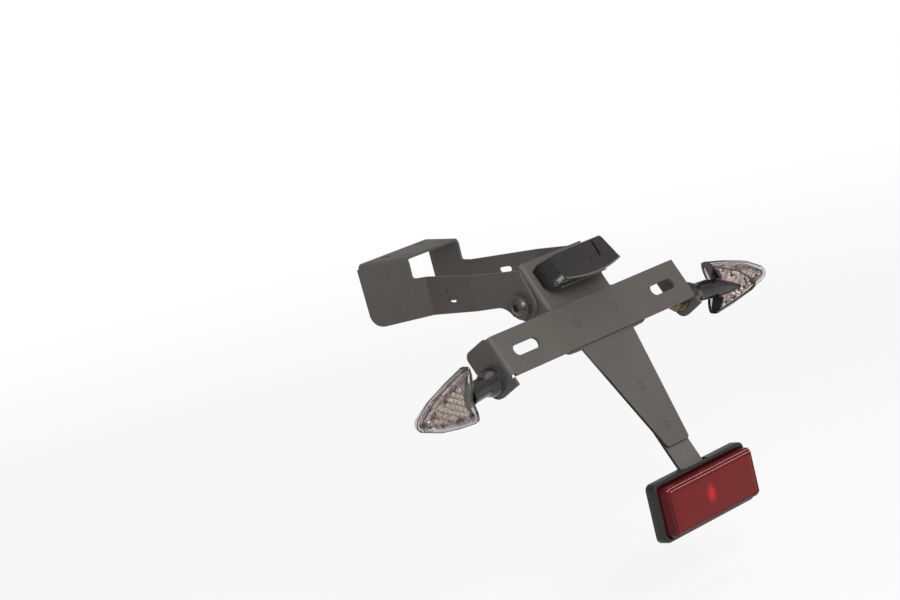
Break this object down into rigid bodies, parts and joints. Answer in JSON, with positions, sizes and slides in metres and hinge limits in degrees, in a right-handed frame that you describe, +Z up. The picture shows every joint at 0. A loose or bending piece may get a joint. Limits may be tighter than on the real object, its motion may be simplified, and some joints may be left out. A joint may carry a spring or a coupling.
{
  "type": "tail tidy",
  "caption": "Black folded-steel tail tidy: arms reaching back from a top plate, a leaning plate carrier with lamp, slotted crossbar, arrow indicators and a red reflector on a strip",
  "frame": {"origin": "middle of the four mounting holes, on the upper face of the tail bracket's top plate", "axes": "X right, Y forward, Z up from the top plate"},
  "size_m": [0.379, 0.2423, 0.2022],
  "materials": {
    "black_coat": "satin",
    "black_zinc": "satin",
    "steel": "satin",
    "yellow_zinc": "satin",
    "black_plastic": "satin",
    "black_rubber": "matte",
    "red_lens": "gloss",
    "clear_lens": "gloss",
    "chrome": "gloss",
    "circuit_board": "matte"
  },
  "bodies": {
    "bracket": {"tail_bracket": "black_coat", "pivot_bolts": "black_zinc", "pivot_washers": "black_zinc", "friction_washers": "black_plastic", "pivot_nuts": "steel"},
    "carrier": {"plate_support": "black_coat", "crossbar": "black_coat", "crossbar_studs": "black_coat", "crossbar_nuts": "steel", "reflector_strip": "black_coat", "strip_studs": "black_coat", "strip_nuts": "steel", "reflector_lens": "red_lens", "reflector_base": "black_plastic", "reflector_stud": "steel", "reflector_nut": "steel", "lamp_body": "black_plastic", "lamp_hood": "black_plastic", "lamp_lens": "clear_lens", "lamp_board": "circuit_board", "lamp_screws": "steel", "indicator_stalk_left": "black_plastic", "indicator_stalk_right": "black_plastic", "indicator_pad_left": "black_rubber", "indicator_pad_right": "black_rubber", "indicator_housing_left": "black_plastic", "indicator_housing_right": "black_plastic", "indicator_lens_left": "clear_lens", "indicator_lens_right": "clear_lens", "indicator_mirror_left": "chrome", "indicator_mirror_right": "chrome", "indicator_board_left": "circuit_board", "indicator_board_right": "circuit_board", "indicator_studs": "yellow_zinc", "indicator_nuts": "yellow_zinc"}
  },
  "joints": [
    {"name": "plate_tilt", "type": "hinge", "parent": "bracket", "child": "carrier", "pos_m": [0, -0.123, -0.04], "axis": [1, 0, 0], "range_deg": [-15, 15]}
  ]
}
